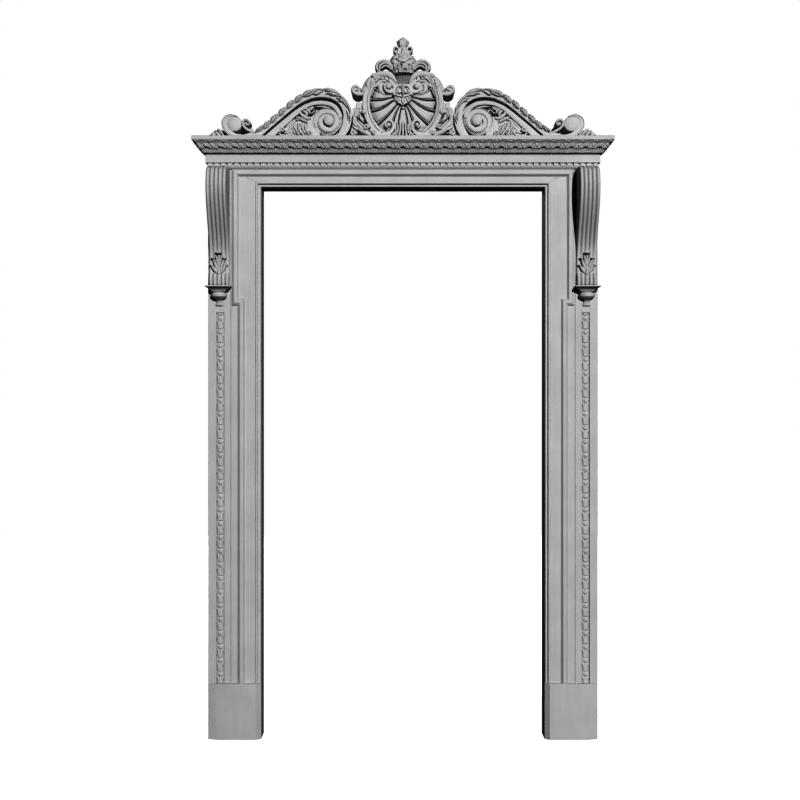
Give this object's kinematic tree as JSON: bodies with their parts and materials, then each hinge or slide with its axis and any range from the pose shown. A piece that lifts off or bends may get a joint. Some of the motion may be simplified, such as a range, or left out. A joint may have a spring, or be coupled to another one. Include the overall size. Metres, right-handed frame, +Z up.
{
  "type": "carved door surround",
  "caption": "Carved and painted wooden surround for a doorway: eared architrave, husk pilasters, reeded consoles, dentilled cornice, scroll pediment with shell and finial.",
  "frame": {"origin": "on the back of the head board, half way up it, on the centreline of the doorway, where it lies on the wall", "axes": "X to the right along the wall, Y out of the back into the wall, Z up"},
  "size_m": [1.6698, 0.2249, 2.8152],
  "materials": {
    "paint": "matte grey paint"
  },
  "bodies": {
    "root": {"plinth_right": "paint", "plinth_left": "paint", "pilaster_right": "paint", "pilaster_left": "paint", "architrave_right": "paint", "architrave_left": "paint", "console_right": "paint", "console_left": "paint", "console_drop_right": "paint", "console_drop_left": "paint", "pediment_scroll_right": "paint", "pediment_scroll_left": "paint", "architrave_head": "paint", "dentil_course": "paint", "frieze_board": "paint", "cornice": "paint", "cartouche": "paint", "crown_finial": "paint"}
  },
  "joints": []
}
